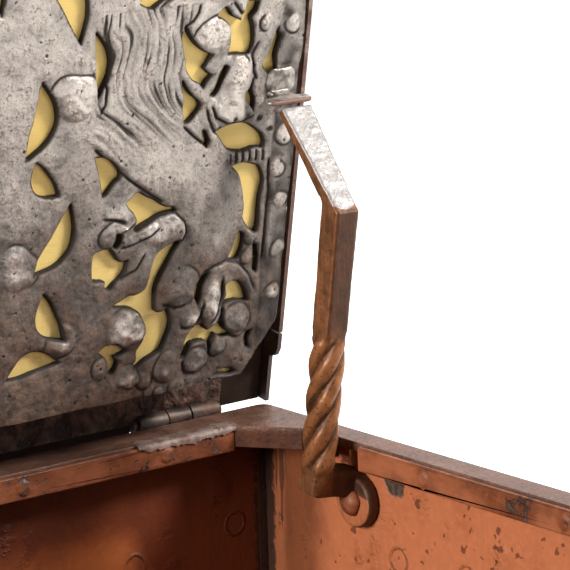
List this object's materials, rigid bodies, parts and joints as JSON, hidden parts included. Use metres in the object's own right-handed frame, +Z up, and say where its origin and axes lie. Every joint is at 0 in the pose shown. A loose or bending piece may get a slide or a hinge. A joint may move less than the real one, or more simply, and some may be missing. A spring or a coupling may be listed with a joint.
{
  "type": "iron strongbox with lid lock",
  "caption": "Riveted iron strongbox with a hinged lid propped open, a pierced lock filling the lid, sliding bolts worked by one wheel, a twisted prop and bail handles.",
  "frame": {"origin": "centre of the underside of the box", "axes": "+Z up, +X to the right as seen from the front, +Y to the rear where the hinges are"},
  "size_m": [0.6666, 0.3903, 0.735],
  "materials": {
    "iron": "forged iron with thin brown rust",
    "red_lead": "old red paint on iron, chipped and rusted",
    "rim_iron": "worn mauve brown iron",
    "prop_iron": "forged iron with orange brown patina",
    "steel": "dull engraved steel with rust specks",
    "brass": "bright rolled sheet"
  },
  "bodies": {
    "box": {"floor_plate": "iron", "front_wall": "red_lead", "rear_wall": "red_lead", "left_wall": "red_lead", "right_wall": "red_lead", "rim_frame": "rim_iron", "rim_strip_right": "red_lead", "rim_strip_left": "red_lead", "rim_strip_front": "red_lead", "rim_strip_rear": "red_lead", "corner_strap_front_left": "iron", "corner_strap_front_right": "iron", "corner_strap_rear_left": "iron", "corner_strap_rear_right": "iron", "front_band_lower": "iron", "front_band_upper": "iron", "rear_band_lower": "iron", "rear_band_upper": "iron", "left_band_lower": "iron", "left_band_upper": "iron", "right_band_lower": "iron", "right_band_upper": "iron", "front_band_left": "iron", "front_band_right": "iron", "hinge_strap_left": "iron", "hinge_strap_right": "iron", "hinge_pin_left": "iron", "hinge_pin_right": "iron", "handle_plate_left": "iron", "handle_plate_right": "iron", "false_escutcheon": "iron", "prop_rivet": "prop_iron"},
    "lid": {"lid_plate": "iron", "lid_edge_front": "iron", "lid_edge_left": "iron", "lid_edge_right": "iron", "lid_band_rear": "iron", "lid_band_front": "iron", "lid_band_left": "iron", "lid_band_right": "iron", "lid_band_middle": "iron", "lock_case": "steel", "brass_sheet": "brass", "lock_cover": "steel", "prop_catch": "steel", "drill_pin": "steel", "detent_spring": "steel", "keeper_front": "steel", "keeper_rear": "steel", "keeper_left": "steel", "keeper_right": "steel"},
    "lid_prop": {"prop": "prop_iron"},
    "keyhole_flap": {"keyhole_cover": "iron"},
    "wheel": {"drive_wheel": "steel"},
    "front_bolt": {"bolt_front": "steel"},
    "rear_bolt": {"bolt_rear": "steel"},
    "left_bolt": {"bolt_left": "steel"},
    "right_bolt": {"bolt_right": "steel"},
    "left_bail": {"handle_left": "iron"},
    "right_bail": {"handle_right": "iron"}
  },
  "joints": [
    {"name": "lid_hinge", "type": "hinge", "parent": "box", "child": "lid", "pos_m": [0, 0.1915, 0.361], "axis": [1, 0, 0], "range_deg": [0, 79]},
    {"name": "prop_pivot", "type": "hinge", "parent": "box", "child": "lid_prop", "pos_m": [0, 0.094, 0.3255], "axis": [1, 0, 0], "range_deg": [0, 158]},
    {"name": "wheel_turn", "type": "hinge", "parent": "lid", "child": "wheel", "pos_m": [0, 0.15523, 0.54761], "axis": [0, 0.9816, 0.1908], "range_deg": [0, 90]},
    {"name": "bolt_front_slide", "type": "slide", "parent": "lid", "child": "front_bolt", "axis": [0, -0.1908, 0.9816], "range_m": [0, 0.014]},
    {"name": "bolt_rear_slide", "type": "slide", "parent": "lid", "child": "rear_bolt", "axis": [0, 0.1908, -0.9816], "range_m": [0, 0.014]},
    {"name": "bolt_left_slide", "type": "slide", "parent": "lid", "child": "left_bolt", "axis": [-1, 0, 0], "range_m": [0, 0.014]},
    {"name": "bolt_right_slide", "type": "slide", "parent": "lid", "child": "right_bolt", "axis": [1, 0, 0], "range_m": [0, 0.014]},
    {"name": "keyhole_cover_pivot", "type": "hinge", "parent": "lid", "child": "keyhole_flap", "pos_m": [0, 0.15237, 0.58169], "axis": [0, 0.9816, 0.1908], "range_deg": [-90, 90]},
    {"name": "handle_left_swing", "type": "hinge", "parent": "box", "child": "left_bail", "pos_m": [-0.3233, 0, 0.1908], "axis": [0, 1, 0], "range_deg": [0, 110]},
    {"name": "handle_right_swing", "type": "hinge", "parent": "box", "child": "right_bail", "pos_m": [0.3233, 0, 0.1908], "axis": [0, -1, 0], "range_deg": [0, 110]}
  ],
  "couplings": [
    {"joint": "prop_pivot", "follows": "lid_hinge", "ratio": 2},
    {"joint": "bolt_front_slide", "follows": "wheel_turn", "m_per_rad": 0.0089126},
    {"joint": "bolt_rear_slide", "follows": "wheel_turn", "m_per_rad": 0.0089126},
    {"joint": "bolt_left_slide", "follows": "wheel_turn", "m_per_rad": 0.0089126},
    {"joint": "bolt_right_slide", "follows": "wheel_turn", "m_per_rad": 0.0089126}
  ]
}
